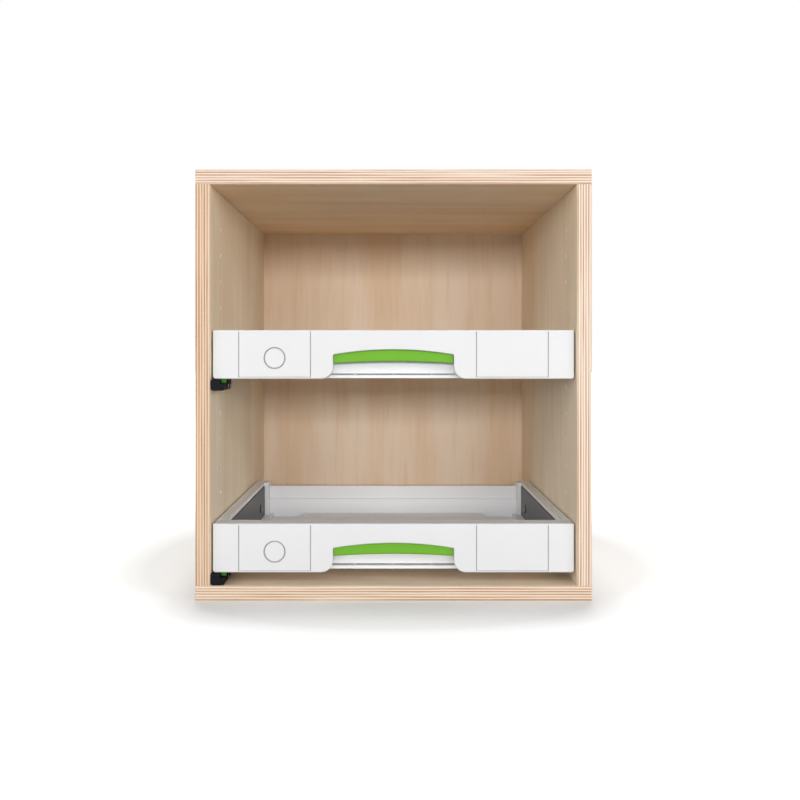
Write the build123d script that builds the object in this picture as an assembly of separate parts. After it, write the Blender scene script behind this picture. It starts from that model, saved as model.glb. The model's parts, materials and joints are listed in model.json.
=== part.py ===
"""Plywood drawer unit for tool cases: a carcass of birch plywood with two moulded drawers.

Millimetres. The front faces -Y, +X is to the right seen from the front, +Z is up.
The origin is on the floor, under the middle of the carcass.
"""
from build123d import *
import math
import os

os.makedirs("parts", exist_ok=True)

# Carcass
cabinet_width = 456.0
cabinet_height = 496.0
cabinet_depth = 450.0
board = 17.0
edge_break = 0.4
back_board = 8.0
back_rebate = 9.0
back_play = 0.25
dowel_d = 8.0
dowel_in_side = 18.0
dowel_in_board = 12.0
dowel_count = 4
dowel_end_space = 32.0

# Row of 5 mm holes near the front of each side panel, 32 mm apart.
# Further back there are holes only where the slides are screwed on.
row_pitch = 32.0
row_end_space = 35.0
row_setback = 65.0
row_spacing = 224.0
row_hole_d = 5.0
row_hole_depth = 12.0
drawer_rows = {"lower": 0, "upper": 7}

# Ball slides, in three members of folded steel
rail_length = 300.0
rail_height = 35.0
rail_width = 12.7
rail_steel = 1.2
rail_hole_setback = 37.0
rail_above_drawer_foot = 21.0
rail_stop_height = 10.0
member_gap = 1.4
ball_d = 3.2
ball_play = 0.05
ball_count = 6
cage_length = 140.0
cage_setback = 80.0
cage_width = 4.6
cage_thickness = 1.0
cage_end_space = 10.0
cage_play = 0.05

# Drawer
drawer_side_gap = 2.0
drawer_setback = 6.0
drawer_depth = 350.0
drawer_height = 56.5
cover_depth = 21.0
cover_wall = 2.6
cover_edge = 0.8
cover_foot_radius = 3.0
cover_head_radius = 1.2

# Grooves and blanking cap in the drawer front
groove_width = 1.0
groove_depth = 1.1
groove_end_space = 1.8
field_edge_space = 30.0
field_width = 83.0
cap_recess_d = 25.6
cap_recess_depth = 1.8
cap_ring = 1.5
cap_proud = 0.2
cap_drop = 4.25
cap_stem_d = 8.0
cap_barb = 0.8

# Hand opening and release lever
hand_half = 70.0
hand_flare = 14.0
hand_arch_low = 28.0
hand_arch_high = 34.0
hand_corner = 2.0
hand_return = 2.0
lever_end_gap = 0.6
lever_setback = 5.1
lever_plate = 2.5
lever_foot_middle = 20.0
lever_foot_end = 17.6
lever_head = 43.0
lever_lip = 2.1
lever_edge = 0.8
rod_d = 4.0
rod_setback = 15.0
rod_height = 40.0
rod_play = 0.05
hub_d = 8.0

# Latch bolt on the left, its crank and its spring
bolt_width = 5.5
bolt_thickness = 5.2
bolt_inset = 9.2
bolt_setback = 3.4
bolt_below = 5.0
bolt_head = 46.0
bolt_play = 0.3
crank_reach = 9.0
crank_pin_d = 3.0
crank_arm = 2.0
crank_slot_play = 0.2
spring_wire = 0.5
spring_d = 4.4
spring_turns = 5

# Catch block on the left wall, under each drawer front
catch_width = 17.0
catch_length = 42.0
catch_foot = 13.6
catch_head = 1.0
catch_setback = 1.0
catch_radius = 4.0
catch_lip_play = 0.5
catch_lip = 9.6
catch_pocket_depth = 11.0
catch_pocket_length = 9.4

# Tray
tray_wall = 1.9
tray_front_wall = 2.5
tray_floor = 2.5
tray_foot = 0.3
platform_half = 137.0
platform_rise = 5.4
platform_rib = 2.0
platform_cells = (6, 7)
ledge_width = 12.0
ledge_wall = 2.0
rim_thickness = 3.0
rim_set_out = 0.5
rim_depth = 9.9
rim_lip = 2.0
rim_groove = 0.8
rim_groove_setbacks = (4.5, 9.0)
rim_edge = 0.8
rear_wall = 2.5
rear_drop = 7.5
rear_ledge = 4.5
rear_ledge_height = 30.0
post_reach = 5.5
post_length = 23.0
foot_lip = 3.6
foot_lip_depth = 3.0
foot_lip_gap = 0.3
foot_slot = 1.8

# Dark plates inside the tray's sides
plate_steel = 1.9
plate_front_space = 4.5
plate_top_gap = 1.2
slot_bridge = 6.0
slot_count = 5
clip_length = 10.0
clip_height = 13.0
clip_foot = 18.6
clip_rear_space = 41.0
clip_play = 0.15

# Screws: shank diameter, length, head diameter, head height
rail_screw = (row_hole_d, 11.0, 8.4, 1.15)
back_screw = (3.5, 24.0, 7.0, 2.8)
plate_screw = (3.5, 9.0, 7.0, 2.0)
cover_screw = (3.0, 12.0, 6.0, 1.9)
catch_screw = (3.0, 22.0, 5.6, 1.8)
recess_blade = 0.9
catch_screw_height = 8.6
catch_screw_setbacks = (24.5, 38.5)
boss_d = 7.0
boss_heights = (12.0, 49.0)
boss_insets = (31.0, 104.0)

# Places that follow from the sizes above
half_width = cabinet_width / 2
front_y = -cabinet_depth / 2
rear_y = cabinet_depth / 2
inner_half = half_width - board
row_first = board + row_end_space
row_count = int((cabinet_height - board - row_end_space - row_first) // row_pitch) + 1
row_y = front_y + row_setback
rail_front = front_y + row_setback - rail_hole_setback
cover_half = inner_half - drawer_side_gap
tray_half = inner_half - rail_width
drawer_front = front_y + drawer_setback
cover_rear = drawer_front + cover_depth
drawer_rear = drawer_front + drawer_depth
plate_inner = tray_half - tray_wall - plate_steel
rod_y = drawer_front + rod_setback
bolt_left = -cover_half + bolt_inset
bolt_right = bolt_left + bolt_width
bolt_front = drawer_front + bolt_setback
bolt_rear = bolt_front + bolt_thickness
crank_y = rod_y - crank_reach


def block(x0, x1, y0, y1, z0, z1):
    """A block between two opposite corners."""
    middle = Pos((x0 + x1) / 2, (y0 + y1) / 2, (z0 + z1) / 2)
    return middle * Box(x1 - x0, y1 - y0, z1 - z0)


def bar_x(x0, x1, y, z, diameter):
    """A round bar along X."""
    return Pos((x0 + x1) / 2, y, z) * Rot(0, 90, 0) * Cylinder(diameter / 2, x1 - x0)


def bar_y(x, y0, y1, z, diameter):
    """A round bar along Y."""
    return Pos(x, (y0 + y1) / 2, z) * Rot(90, 0, 0) * Cylinder(diameter / 2, y1 - y0)


def bar_z(x, y, z0, z1, diameter):
    """A round bar along Z."""
    return Pos(x, y, (z0 + z1) / 2) * Cylinder(diameter / 2, z1 - z0)


def slab(outline, y0, y1):
    """A front-view outline in X and Z, carried from y0 back to y1."""
    return Pos(0, y1, 0) * extrude(Plane.XZ * outline, y1 - y0)


def both_sides(shape):
    """A left-hand shape and its mirror image on the right, as two solids."""
    return [shape, mirror(shape, Plane.YZ)]


def group(shapes):
    """Several separate solids kept as one node."""
    solids = []
    for shape in shapes:
        solids.extend(shape.solids())
    return Compound(solids)


def screw(sizes, countersunk=False):
    """A screw that points down from the face it seats on, with a cross recess."""
    shank_d, length, head_d, head_height = sizes
    point = shank_d / 2
    shank = Pos(0, 0, -(length - point) / 2) * Cylinder(shank_d / 2, length - point)
    tip = Pos(0, 0, -length + point / 2) * Rot(180, 0, 0) * Cone(shank_d / 2, shank_d / 8, point)
    if countersunk:
        head = Pos(0, 0, -head_height / 2) * Cone(shank_d / 2, head_d / 2, head_height)
        top = 0.0
    else:
        head = Pos(0, 0, head_height / 2) * Cylinder(head_d / 2, head_height)
        head = chamfer(head.edges().group_by(Axis.Z)[-1], head_height * 0.35)
        top = head_height
    body = shank + tip + head
    depth = head_height * 0.6
    for turn in (0, 90):
        blade = Rot(0, 0, turn) * Box(head_d * 0.55, recess_blade, depth)
        body -= Pos(0, 0, top - depth / 2) * blade
    return body


def screw_seat(sizes):
    """The hole and countersink of a screw with a countersunk head."""
    shank_d, length, head_d, head_height = sizes
    hole = Pos(0, 0, -length / 2) * Cylinder(shank_d / 2, length)
    return hole + Pos(0, 0, -head_height / 2) * Cone(shank_d / 2, head_d / 2, head_height)


# Carcass boards


def carcass_board(x0, x1, z0, z1):
    """One board of the carcass, with its edges just broken."""
    shape = block(x0, x1, front_y, rear_y, z0, z1)
    return chamfer(shape.edges(), edge_break)


def back_pocket(play):
    """The space that the back panel fills, less the play at its four edges."""
    reach_x = inner_half + back_rebate - play
    low = board - back_rebate + play
    high = cabinet_height - board + back_rebate - play
    return block(-reach_x, reach_x, rear_y - back_board, rear_y, low, high)


def dowel_places():
    """The middle lines of the dowels, which stand in the side panels' ends."""
    step = (cabinet_depth - 2 * dowel_end_space) / (dowel_count - 1)
    ys = [front_y + dowel_end_space + step * i for i in range(dowel_count)]
    xs = (-(half_width - board / 2), half_width - board / 2)
    return [(x, y) for x in xs for y in ys]


def dowel_spans():
    """Bottom and top of the lower and of the upper dowels."""
    return (
        (board - dowel_in_board, board + dowel_in_side),
        (cabinet_height - board - dowel_in_side, cabinet_height - board + dowel_in_board),
    )


def dowels():
    """Beech dowels in the four corner joints."""
    return [bar_z(x, y, low, high, dowel_d) for x, y in dowel_places() for low, high in dowel_spans()]


def back_screw_places():
    """Places of the back panel's screws, in the middle of the rebate."""
    x = inner_half + back_rebate / 2
    low = board - back_rebate / 2
    high = cabinet_height - low
    heights = [low + (high - low) * share for share in (0.1, 0.37, 0.63, 0.9)]
    places = [(side * x, z) for side in (-1, 1) for z in heights]
    places += [(share * x, z) for share in (-0.7, 0.0, 0.7) for z in (low, high)]
    return places


def back_screw_at(place, shape):
    """A screw or its seat, turned to point forwards from the back panel's rear face."""
    x, z = place
    return Pos(x, rear_y, z) * Rot(-90, 0, 0) * shape


def back_screws():
    """Countersunk screws that hold the back panel in its rebate."""
    return [back_screw_at(place, screw(back_screw, True)) for place in back_screw_places()]


def row_heights():
    """Heights of the holes in each row."""
    return [row_first + row_pitch * i for i in range(row_count)]


def row_holes():
    """The row of holes in the left panel and the slides' rear holes, as round bars to cut away."""
    deep = -inner_half - row_hole_depth
    places = [(row_y, z) for z in row_heights()]
    places += [(row_y + row_spacing, drawer_foot(name) + rail_above_drawer_foot) for name in drawer_rows]
    return [bar_x(deep, -inner_half, y, z, row_hole_d) for y, z in places]


def catch_screw_places():
    """Places of the catch blocks' screws, seen from the side."""
    return [
        (front_y + setback, drawer_foot(name) - catch_screw_height)
        for name in drawer_rows
        for setback in catch_screw_setbacks
    ]


def drawer_foot(name):
    """Height of the underside of one drawer, set by the row hole that its slides hang on."""
    return row_first + row_pitch * drawer_rows[name] - rail_above_drawer_foot


def catch_pilots():
    """The catch screws' holes in the left panel."""
    shank_d, length, head_d, head_height = catch_screw
    deep = -inner_half + catch_width - head_height - length
    return [bar_x(deep, -inner_half, y, z, shank_d) for y, z in catch_screw_places()]


def back_pilots():
    """The back screws' holes in the boards."""
    shank_d, length = back_screw[:2]
    return [
        bar_y(x, rear_y - length, rear_y - back_board, z, shank_d)
        for x, z in back_screw_places()
    ]


def carcass():
    """The five boards of the carcass and what joins them."""
    pocket = back_pocket(0.0)
    left = carcass_board(-half_width, -inner_half, board, cabinet_height - board)
    left = left - pocket - row_holes()
    right = mirror(left, Plane.YZ)
    left = left - catch_pilots()
    top = carcass_board(-half_width, half_width, cabinet_height - board, cabinet_height) - pocket
    bottom = carcass_board(-half_width, half_width, 0.0, board) - pocket
    back = back_pocket(back_play)
    for place in back_screw_places():
        back -= back_screw_at(place, screw_seat(back_screw))
    cuts = dowels() + back_pilots()
    return {
        "left_side_panel": left - cuts,
        "right_side_panel": right - cuts,
        "top_panel": top - cuts,
        "bottom_panel": bottom - cuts,
        "back_panel": back,
        "corner_dowels": group(dowels()),
        "back_screws": group(back_screws()),
    }


# Ball slides, drawn for the left side and mirrored to the right.
# Each member lies between its distances from the side panel and from the slide's middle line.

outer_inside = rail_height / 2 - rail_steel
ball_lane = ball_d + 2 * ball_play
middle_outside = outer_inside - ball_lane
middle_inside = middle_outside - rail_steel
inner_outside = middle_inside - ball_lane
middle_near = rail_steel + member_gap
outer_far = rail_width - 3.5
middle_far = rail_width - 2.5
inner_near = middle_near + rail_steel + member_gap
outer_ball = (middle_near + outer_far) / 2 + 0.5
inner_ball = (inner_near + middle_far) / 2 + 0.3


def rail_block(near, far, s0, s1, low, high):
    """A block of a slide: distances from the panel, from the slide's front and from its middle line."""
    foot = rail_above_drawer_foot
    return block(
        -inner_half + near, -inner_half + far, rail_front + s0, rail_front + s1, foot + low, foot + high
    )


def channel(near, far, outside, web_near):
    """A folded steel channel: two flanges and the web that joins them."""
    length = rail_length
    web_far = web_near + rail_steel
    shape = rail_block(web_near, web_far, 0, length, -outside, outside)
    shape += rail_block(near, far, 0, length, outside - rail_steel, outside)
    shape += rail_block(near, far, 0, length, -outside, -outside + rail_steel)
    return shape


def rail_screw_setbacks():
    """Distances of the wall screws from the slide's front."""
    return (rail_hole_setback, rail_hole_setback + row_spacing)


def plate_screw_setbacks():
    """Distances of the drawer's screws from the slide's front."""
    return (rail_length * 0.1, rail_length * 0.5, rail_length * 0.9)


def cabinet_rail():
    """The fixed member, with its screw holes and the tab that the middle member stops on."""
    shape = channel(0, outer_far, rail_height / 2, 0)
    stop = rail_stop_height / 2
    shape += rail_block(0, middle_far, rail_length + 0.3, rail_length + 0.3 + rail_steel, -stop, stop)
    shape += rail_block(0, rail_steel, rail_length, rail_length + 0.3, -stop, stop)
    for setback in rail_screw_setbacks():
        y = rail_front + setback
        shape -= bar_x(-inner_half, -inner_half + rail_steel, y, rail_above_drawer_foot, row_hole_d)
    return shape


def middle_rail():
    """The sliding middle member, with access holes for the wall screws."""
    shape = channel(middle_near, middle_far, middle_outside, middle_near)
    for setback in rail_screw_setbacks():
        y = rail_front + setback
        near = -inner_half + middle_near
        shape -= bar_x(near, near + rail_steel, y, rail_above_drawer_foot, rail_screw[2] + 1.0)
    return shape


def drawer_rail():
    """The member that is screwed to the tray."""
    shape = channel(inner_near, rail_width, inner_outside, rail_width - rail_steel)
    for setback in plate_screw_setbacks():
        y = rail_front + setback
        shape -= bar_x(-tray_half - rail_steel, -tray_half, y, rail_above_drawer_foot, plate_screw[0])
    return shape


def ball_places(distance, level):
    """Middles of the balls of one slide, in an upper and a lower lane."""
    step = (cage_length - 2 * cage_end_space) / (ball_count - 1)
    first = rail_front + cage_setback + cage_end_space
    return [
        (-inner_half + distance, first + step * i, rail_above_drawer_foot + side * level)
        for side in (-1, 1)
        for i in range(ball_count)
    ]


def balls(distance, level):
    """The steel balls of one slide's pair of lanes."""
    return [Pos(*place) * Sphere(ball_d / 2) for place in ball_places(distance, level)]


def cages(distance, level):
    """The two strips that keep the balls apart."""
    strips = []
    for side in (-1, 1):
        strip = rail_block(
            distance - cage_width / 2,
            distance + cage_width / 2,
            cage_setback,
            cage_setback + cage_length,
            side * level - cage_thickness / 2,
            side * level + cage_thickness / 2,
        )
        for x, y, z in ball_places(distance, level):
            strip -= bar_z(x, y, z - cage_thickness, z + cage_thickness, ball_d + 2 * cage_play)
        strips.append(strip)
    return strips


def rail_screws():
    """Screws that hold the left fixed member to its panel."""
    x = -inner_half + rail_steel
    return [
        Pos(x, rail_front + setback, rail_above_drawer_foot) * Rot(0, 90, 0) * screw(rail_screw)
        for setback in rail_screw_setbacks()
    ]


def mirrored_group(shapes):
    """Left-hand solids and their mirror images, as one node."""
    return group([side for shape in shapes for side in both_sides(shape)])


def slides():
    """Both ball slides of one drawer."""
    outer_level = (outer_inside + middle_outside) / 2
    inner_level = (middle_inside + inner_outside) / 2
    made = {}
    for name, shape in (
        ("cabinet_rail", cabinet_rail()),
        ("middle_rail", middle_rail()),
        ("drawer_rail", drawer_rail()),
    ):
        made["left_" + name], made["right_" + name] = both_sides(shape)
    made["rail_screws"] = mirrored_group(rail_screws())
    made["outer_ball_cages"] = mirrored_group(cages(outer_ball, outer_level))
    made["outer_balls"] = mirrored_group(balls(outer_ball, outer_level))
    made["inner_ball_cages"] = mirrored_group(cages(inner_ball, inner_level))
    made["inner_balls"] = mirrored_group(balls(inner_ball, inner_level))
    return made


# Drawer front


def hand_outline(gap=0.0):
    """Front view of the hand opening, less a gap: rounded foot, straight sides, arched head."""
    half = hand_half - gap
    wide = hand_half + hand_flare
    radius = hand_flare + gap
    foot = hand_flare - radius
    slant = radius * math.sqrt(0.5)
    below = foot - 1.0
    edges = [
        Line((-wide, below), (-wide, foot)),
        ThreePointArc((-wide, foot), (slant - wide, hand_flare - slant), (-half, hand_flare)),
        Line((-half, hand_flare), (-half, hand_arch_low)),
        ThreePointArc((-half, hand_arch_low), (0, hand_arch_high), (half, hand_arch_low)),
        Line((half, hand_arch_low), (half, hand_flare)),
        ThreePointArc((half, hand_flare), (wide - slant, hand_flare - slant), (wide, foot)),
        Line((wide, foot), (wide, below)),
        Line((wide, below), (-wide, below)),
    ]
    face = make_face(edges)
    corners = [v for v in face.vertices() if abs(v.Y - hand_arch_low) < 0.01]
    return fillet(corners, hand_corner)


def hand_returns():
    """Walls behind the ends of the hand opening. They also carry the rod."""
    head = rod_height + hub_d / 2 + 2
    wall = block(-hand_half - hand_return, -hand_half, drawer_front, cover_rear, hand_flare, head)
    ring = bar_y(-hand_half - hand_flare, drawer_front, cover_rear, hand_flare, 2 * hand_flare)
    ring -= bar_y(
        -hand_half - hand_flare, drawer_front, cover_rear, hand_flare, 2 * (hand_flare - hand_return)
    )
    corner = block(
        -hand_half - hand_flare, -hand_half, drawer_front, cover_rear, 0, hand_flare
    )
    return both_sides(wall + (ring & corner))


def boss_places():
    """Places of the cover's screw bosses, seen from the front."""
    return [
        (side * (cover_half - inset), height)
        for side in (-1, 1)
        for inset in boss_insets
        for height in boss_heights
    ]


def cap_place():
    """Middle of the blanking cap, seen from the front."""
    return (-(cover_half - field_edge_space - field_width / 2), drawer_height / 2 - cap_drop)


def front_grooves():
    """Fine grooves that frame the two plain fields of the front."""
    outer = cover_half - field_edge_space
    inner = outer - field_width
    half = groove_width / 2
    low = groove_end_space
    high = drawer_height - groove_end_space
    deep = drawer_front + groove_depth
    cuts = []
    for x in (-outer, -inner, inner, outer):
        cuts.append(block(x - half, x + half, drawer_front, deep, low, high))
    for x in (-outer, inner):
        cuts.append(block(x, x + field_width, drawer_front, deep, low, low + half))
    return cuts


def bolt_guides():
    """Two ribs behind the front wall, one each side of the latch bolt."""
    low = cover_wall
    high = bolt_head - bolt_below
    ribs = []
    for x in (bolt_left - bolt_play - hand_return, bolt_right + bolt_play):
        ribs.append(block(x, x + hand_return, drawer_front + cover_wall, bolt_rear, low, high))
    return ribs


def rod_rib():
    """A rib that carries the rod beside its crank."""
    x = bolt_right + bolt_play + 2 * hand_return
    low = rod_height - hub_d / 2 - 2
    return block(x, x + hand_return, drawer_front + cover_wall, cover_rear, low, drawer_height - cover_wall)


def front_cover():
    """The moulded drawer front: a shell that is open at the back."""
    shape = block(-cover_half, cover_half, drawer_front, cover_rear, 0, drawer_height)
    along = shape.edges().filter_by(Axis.Y).group_by(Axis.Z)
    shape = fillet(along[0], cover_foot_radius)
    along = shape.edges().filter_by(Axis.Y).group_by(Axis.Z)
    shape = fillet(along[-1], cover_head_radius)
    opening = slab(hand_outline(), drawer_front - 1, cover_rear + 1)
    shape = shape - opening
    shape = chamfer(shape.faces().sort_by(Axis.Y)[0].edges(), cover_edge)
    cavity = block(
        -cover_half + cover_wall,
        cover_half - cover_wall,
        drawer_front + cover_wall,
        cover_rear,
        cover_wall,
        drawer_height - cover_wall,
    )
    bosses = [bar_y(x, drawer_front + cover_wall, cover_rear, z, boss_d) for x, z in boss_places()]
    keep = hand_returns() + bolt_guides() + [rod_rib()] + bosses
    for piece in keep:
        cavity -= piece
    shape = shape - cavity
    pilot_end = cover_rear + tray_front_wall - cover_screw[1]
    for x, z in boss_places():
        shape -= bar_y(x, pilot_end, cover_rear, z, cover_screw[0])
    left = -cover_half + cover_wall
    shape -= bar_x(left, hand_half + 2 * hand_return, rod_y, rod_height, rod_d + 2 * rod_play)
    x0 = bolt_left - bolt_play
    x1 = bolt_right + bolt_play
    shape -= block(x0, x1, bolt_front - bolt_play, bolt_rear + bolt_play, 0, cover_wall)
    cap_x, cap_z = cap_place()
    shape -= bar_y(cap_x, drawer_front, drawer_front + cap_recess_depth, cap_z, cap_recess_d)
    shape -= bar_y(cap_x, drawer_front, drawer_front + cover_wall, cap_z, cap_stem_d)
    for cut in front_grooves():
        shape -= cut
    return shape


def blanking_cap():
    """A plain round cap, held in the front by a barbed stem."""
    x, z = cap_place()
    face = drawer_front - cap_proud
    seat = drawer_front + cap_recess_depth
    disc = bar_y(x, face, seat, z, cap_recess_d - 2 * cap_ring)
    disc = chamfer(disc.edges().group_by(Axis.Y)[0], cap_proud)
    behind = drawer_front + cover_wall
    stem = bar_y(x, seat, behind + 2 * cap_barb, z, cap_stem_d)
    barb = bar_y(x, behind, behind + cap_barb, z, cap_stem_d + 2 * cap_barb)
    return disc + stem + barb


# Release lever, crank, latch bolt and spring


def lever_outline():
    """Front view of the lever, arched at its foot like the hand opening above it."""
    half = hand_half - lever_end_gap
    edges = [
        ThreePointArc((-half, lever_foot_end), (0, lever_foot_middle), (half, lever_foot_end)),
        Line((half, lever_foot_end), (half, lever_head)),
        Line((half, lever_head), (-half, lever_head)),
        Line((-half, lever_head), (-half, lever_foot_end)),
    ]
    return make_face(edges)


def lever_foot_outline():
    """Front view of the rounded lip along the lever's foot."""
    half = hand_half - lever_end_gap
    edges = [
        ThreePointArc((-half, lever_foot_end), (0, lever_foot_middle), (half, lever_foot_end)),
        Line((half, lever_foot_end), (half, lever_foot_end + lever_lip)),
        ThreePointArc(
            (half, lever_foot_end + lever_lip),
            (0, lever_foot_middle + lever_lip),
            (-half, lever_foot_end + lever_lip),
        ),
        Line((-half, lever_foot_end + lever_lip), (-half, lever_foot_end)),
    ]
    return make_face(edges)


def release_lever():
    """The lever behind the hand opening, on a hub that is fixed on the rod."""
    front = drawer_front + lever_setback
    rear = front + lever_plate
    half = hand_half - lever_end_gap
    plate = slab(lever_outline(), front, rear)
    foot = plate.faces().sort_by(Axis.Y)[0].edges().filter_by(GeomType.CIRCLE)
    plate = chamfer(foot, lever_edge)
    lip = slab(lever_foot_outline(), rear, rear + lever_lip)
    hub = bar_x(-half, half, rod_y, rod_height, hub_d)
    web = block(-half, half, rear, rod_y, lever_head - 2 * lever_plate, lever_head)
    shape = plate + lip + hub + web
    return shape - bar_x(-half, half, rod_y, rod_height, rod_d)


def lever_rod():
    """The steel rod that the lever turns on. It carries the turn to the crank."""
    return bar_x(bolt_left, hand_half + 1.5 * hand_return, rod_y, rod_height, rod_d)


def release_crank():
    """The short arm on the rod's left end, which lifts the latch bolt."""
    half = crank_arm / 2
    arm = block(bolt_left, bolt_right, crank_y, rod_y, rod_height - half, rod_height + half)
    hub = bar_x(bolt_left, bolt_right, rod_y, rod_height, hub_d)
    pin = bar_x(bolt_left, bolt_right, crank_y, rod_height, crank_pin_d)
    return arm + hub + pin - bar_x(bolt_left, bolt_right, rod_y, rod_height, rod_d)


def latch_bolt():
    """The upright bolt that the crank lifts. Its foot shows under the drawer front."""
    shape = block(bolt_left, bolt_right, bolt_front, bolt_rear, -bolt_below, bolt_head)
    slot = crank_pin_d / 2 + crank_slot_play
    slot_front = crank_y - slot
    shape -= block(bolt_left, bolt_right, slot_front, bolt_rear, rod_height - slot, rod_height + slot)
    foot = shape.edges().filter_by(Axis.X).group_by(Axis.Z)[0]
    return chamfer(foot, 0.8)


def latch_spring():
    """The small coil spring between the bolt's head and the front's top wall."""
    room = drawer_height - cover_wall - bolt_head - spring_wire
    coil = Helix(room / spring_turns, room, (spring_d - spring_wire) / 2)
    start = Plane(coil @ 0, z_dir=coil % 0)
    wire = sweep(start * Circle(spring_wire / 2), path=coil)
    middle_x = (bolt_left + bolt_right) / 2
    middle_y = (bolt_front + bolt_rear) / 2
    return Pos(middle_x, middle_y, bolt_head + spring_wire / 2) * wire


def catch_block():
    """The black block on the left panel that the latch bolt drops into."""
    left = -inner_half
    right = left + catch_width
    front = front_y + catch_setback
    shape = block(left, right, front, front + catch_length, -catch_foot, -catch_head)
    feet = shape.edges().filter_by(Axis.Y).group_by(Axis.Z)[0]
    shape = fillet(feet, catch_radius)
    lip_top = -bolt_below - catch_lip_play
    x0 = bolt_left - bolt_play
    pocket_rear = front + catch_lip + catch_pocket_length
    shape -= block(x0, right, front, pocket_rear, lip_top, -catch_head)
    x1 = bolt_right + bolt_play
    shape -= block(x0, x1, front + catch_lip, pocket_rear, -catch_pocket_depth, lip_top)
    for setback in catch_screw_setbacks:
        y = front_y + setback
        shape -= bar_x(left, right, y, -catch_screw_height, catch_screw[0])
        shape -= bar_x(right - catch_screw[3], right, y, -catch_screw_height, catch_screw[2] + 0.4)
    return shape


def catch_screws():
    """The two screws that hold the catch block."""
    x = -inner_half + catch_width - catch_screw[3]
    return [
        Pos(x, front_y + setback, -catch_screw_height) * Rot(0, 90, 0) * screw(catch_screw)
        for setback in catch_screw_setbacks
    ]


# Tray


def clip_span():
    """Front and rear of the clip near the end of a side plate."""
    rear = drawer_rear - post_length - clip_rear_space
    return rear - clip_length, rear


def side_plate():
    """The dark steel plate that stiffens the tray's left side."""
    front = cover_rear + tray_front_wall + plate_front_space
    rear = drawer_rear - post_length
    top = drawer_height - rim_thickness - plate_top_gap
    shape = block(-tray_half + tray_wall, -plate_inner, front, rear, tray_foot + tray_floor, top)
    for setback in plate_screw_setbacks():
        y = rail_front + setback
        shape -= bar_x(-tray_half + tray_wall, -plate_inner, y, rail_above_drawer_foot, plate_screw[0])
    y0, y1 = clip_span()
    shape -= block(-tray_half + tray_wall, -plate_inner, y0, y1, clip_foot, clip_foot + clip_height)
    return shape


def side_clip():
    """The black clip that fills the slot near the plate's rear end."""
    y0, y1 = clip_span()
    high = clip_foot + clip_height
    shape = block(
        -tray_half + tray_wall,
        -plate_inner - 0.5,
        y0 + clip_play,
        y1 - clip_play,
        clip_foot + clip_play,
        high - clip_play,
    )
    return shape


def plate_screws():
    """Screws through the plate and the tray's wall into the left drawer rail."""
    return [
        Pos(-plate_inner, rail_front + setback, rail_above_drawer_foot) * Rot(0, 90, 0) * screw(plate_screw)
        for setback in plate_screw_setbacks()
    ]


def cover_screws():
    """Screws from inside the tray into the bosses of the front."""
    y = cover_rear + tray_front_wall
    places = [(x, z) for x, z in boss_places() if abs(x) < tray_half]
    return [Pos(x, y, z) * Rot(-90, 0, 0) * screw(cover_screw) for x, z in places]


def plate_slots():
    """Fronts and rears of the slots in the tray's wall, just above the plate."""
    front = cover_rear + tray_front_wall + plate_front_space
    rear = drawer_rear - post_length - slot_bridge
    step = (rear - front + slot_bridge) / slot_count
    return [(front + step * i, front + step * (i + 1) - slot_bridge) for i in range(slot_count)]


def tray_side():
    """The left wall of the tray with its rim and its hollow rear post."""
    front = cover_rear
    rear = drawer_rear
    top = drawer_height
    under_rim = top - rim_thickness
    skirt_foot = top - rim_depth
    rim_inner = plate_inner + rim_set_out
    wall = block(-tray_half, -tray_half + tray_wall, front, rear, tray_foot, under_rim)
    for y0, y1 in plate_slots():
        wall -= block(-tray_half, -tray_half + tray_wall, y0, y1, under_rim - plate_top_gap, under_rim)
    rim = block(-cover_half, -rim_inner, front, rear, under_rim, top)
    rim = fillet(rim.edges().filter_by(Axis.Y).group_by(Axis.Z)[-1], rim_edge)
    for setback in rim_groove_setbacks:
        x = -rim_inner - setback
        rim -= block(x - rim_groove / 2, x + rim_groove / 2, front, rear, top - rim_groove, top)
    lip = block(-cover_half, -cover_half + rim_lip, front, rear, skirt_foot, under_rim)
    post_front = rear - post_length
    post_side = -plate_inner + post_reach
    post = block(-tray_half, post_side, post_front, rear, tray_foot, top)
    hollow = block(
        -tray_half + rear_wall,
        post_side - rear_wall,
        post_front + rear_wall,
        rear - rear_wall,
        tray_foot,
        under_rim,
    )
    return wall + rim + lip + (post - hollow)


def side_ledge():
    """The raised strip along the left side plate, level with the platform."""
    front = cover_rear + tray_front_wall
    rear = drawer_rear - rear_wall
    top = tray_foot + tray_floor + platform_rise
    return block(-plate_inner, -plate_inner + ledge_width, front, rear, tray_foot, top)


def tray_floor_shape():
    """The floor: low at the sides for the cases' feet, with a ribbed platform in the middle."""
    low = tray_foot
    deck = low + tray_floor
    front = cover_rear
    rear = drawer_rear
    floor = block(-tray_half, tray_half, front, rear, low, deck)
    raised_front = front + tray_front_wall
    raised_rear = rear - rear_wall
    platform = block(-platform_half, platform_half, raised_front, raised_rear, low, deck + platform_rise)
    columns, rows = platform_cells
    cell_x = (2 * platform_half - platform_rib) / columns
    cell_y = (raised_rear - raised_front - platform_rib) / rows
    for i in range(columns):
        for j in range(rows):
            x = -platform_half + platform_rib + cell_x * i
            y = raised_front + platform_rib + cell_y * j
            x1 = x + cell_x - platform_rib
            y1 = y + cell_y - platform_rib
            hollow = block(x, x1, y, y1, low, low + platform_rise)
            platform -= hollow
            floor -= hollow
    shape = floor + platform
    for ledge in both_sides(side_ledge()):
        shape += ledge
    wall = ledge_wall
    for x in (-plate_inner, plate_inner - ledge_width):
        shape -= block(
            x + wall, x + ledge_width - wall, raised_front + wall, raised_rear - wall, low, low + platform_rise
        )
    return shape


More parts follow.
